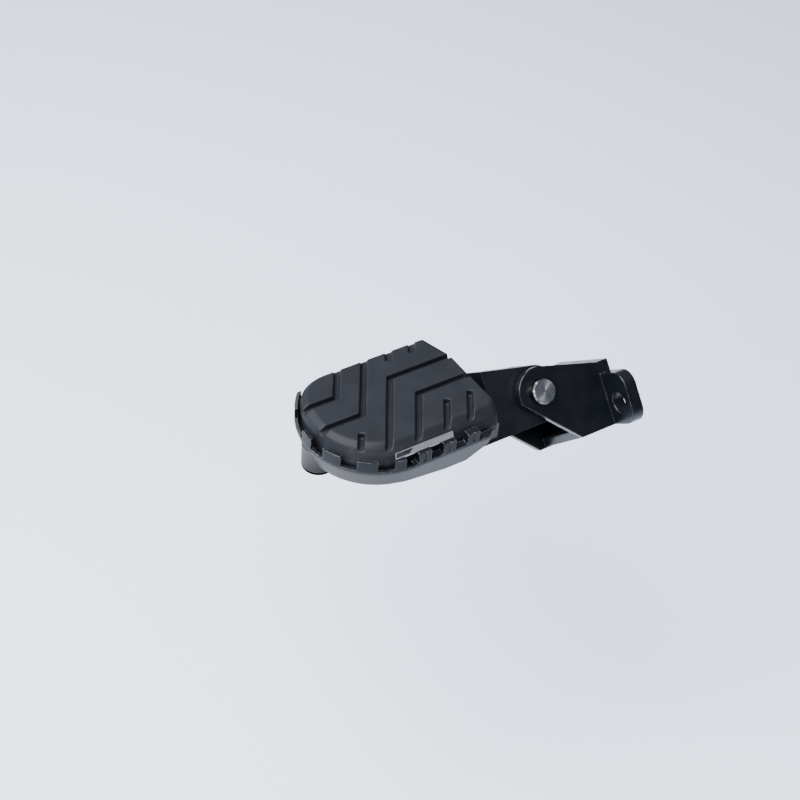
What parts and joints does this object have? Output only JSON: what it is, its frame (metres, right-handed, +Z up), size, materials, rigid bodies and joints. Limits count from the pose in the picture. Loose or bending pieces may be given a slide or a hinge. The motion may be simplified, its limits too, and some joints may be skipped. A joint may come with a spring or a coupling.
{
  "type": "motorcycle footpeg",
  "caption": "Folding motorcycle footpeg: toothed cast peg with a grooved rubber tread, on an adapter block hinged in a clevis bracket with a return spring.",
  "frame": {"origin": "on the bracket's fixing face, level with the fold axis and midway between the ears", "axes": "+X out along the peg away from the motorcycle, +Y to the toothed side with the bright bar, +Z up out of the tread"},
  "size_m": [0.1283, 0.0651, 0.0637],
  "materials": {
    "casting": "matt powder coat on a casting, worn bright on the edges",
    "rubber": "matt moulded rubber",
    "black_paint": "satin black paint",
    "steel": "turned, zinc plated",
    "spring_steel": "oiled drawn wire",
    "black_steel": "black oxide",
    "bush_plastic": "filled bearing plastic",
    "plug_plastic": "moulded plastic",
    "bar_aluminium": "brushed, clear anodised"
  },
  "bodies": {
    "bracket": {"clevis_bracket": "black_paint", "pivot_pin": "steel", "pin_washer": "steel", "retaining_clip": "black_steel", "return_spring": "spring_steel"},
    "peg": {"adapter_block": "black_paint", "adapter_bolt_front": "black_steel", "adapter_bolt_rear": "black_steel", "boss_plug": "plug_plastic", "front_bush": "bush_plastic", "pad_plate": "steel", "pad_screw_front": "steel", "pad_screw_rear": "steel", "pad_screw_tip": "steel", "pad_washer_front": "steel", "pad_washer_rear": "steel", "pad_washer_tip": "steel", "peg_body": "casting", "rubber_pad": "rubber", "spring_spool": "bush_plastic", "trim_bar": "bar_aluminium"}
  },
  "joints": [
    {"name": "fold", "type": "hinge", "parent": "bracket", "child": "peg", "pos_m": [0.032, 0, 0], "axis": [0, -0.7547, -0.6561], "range_deg": [0, 80], "stiffness_Nm_per_rad": 0.3, "springref_deg": -57.3, "deforming": ["return_spring"]}
  ]
}
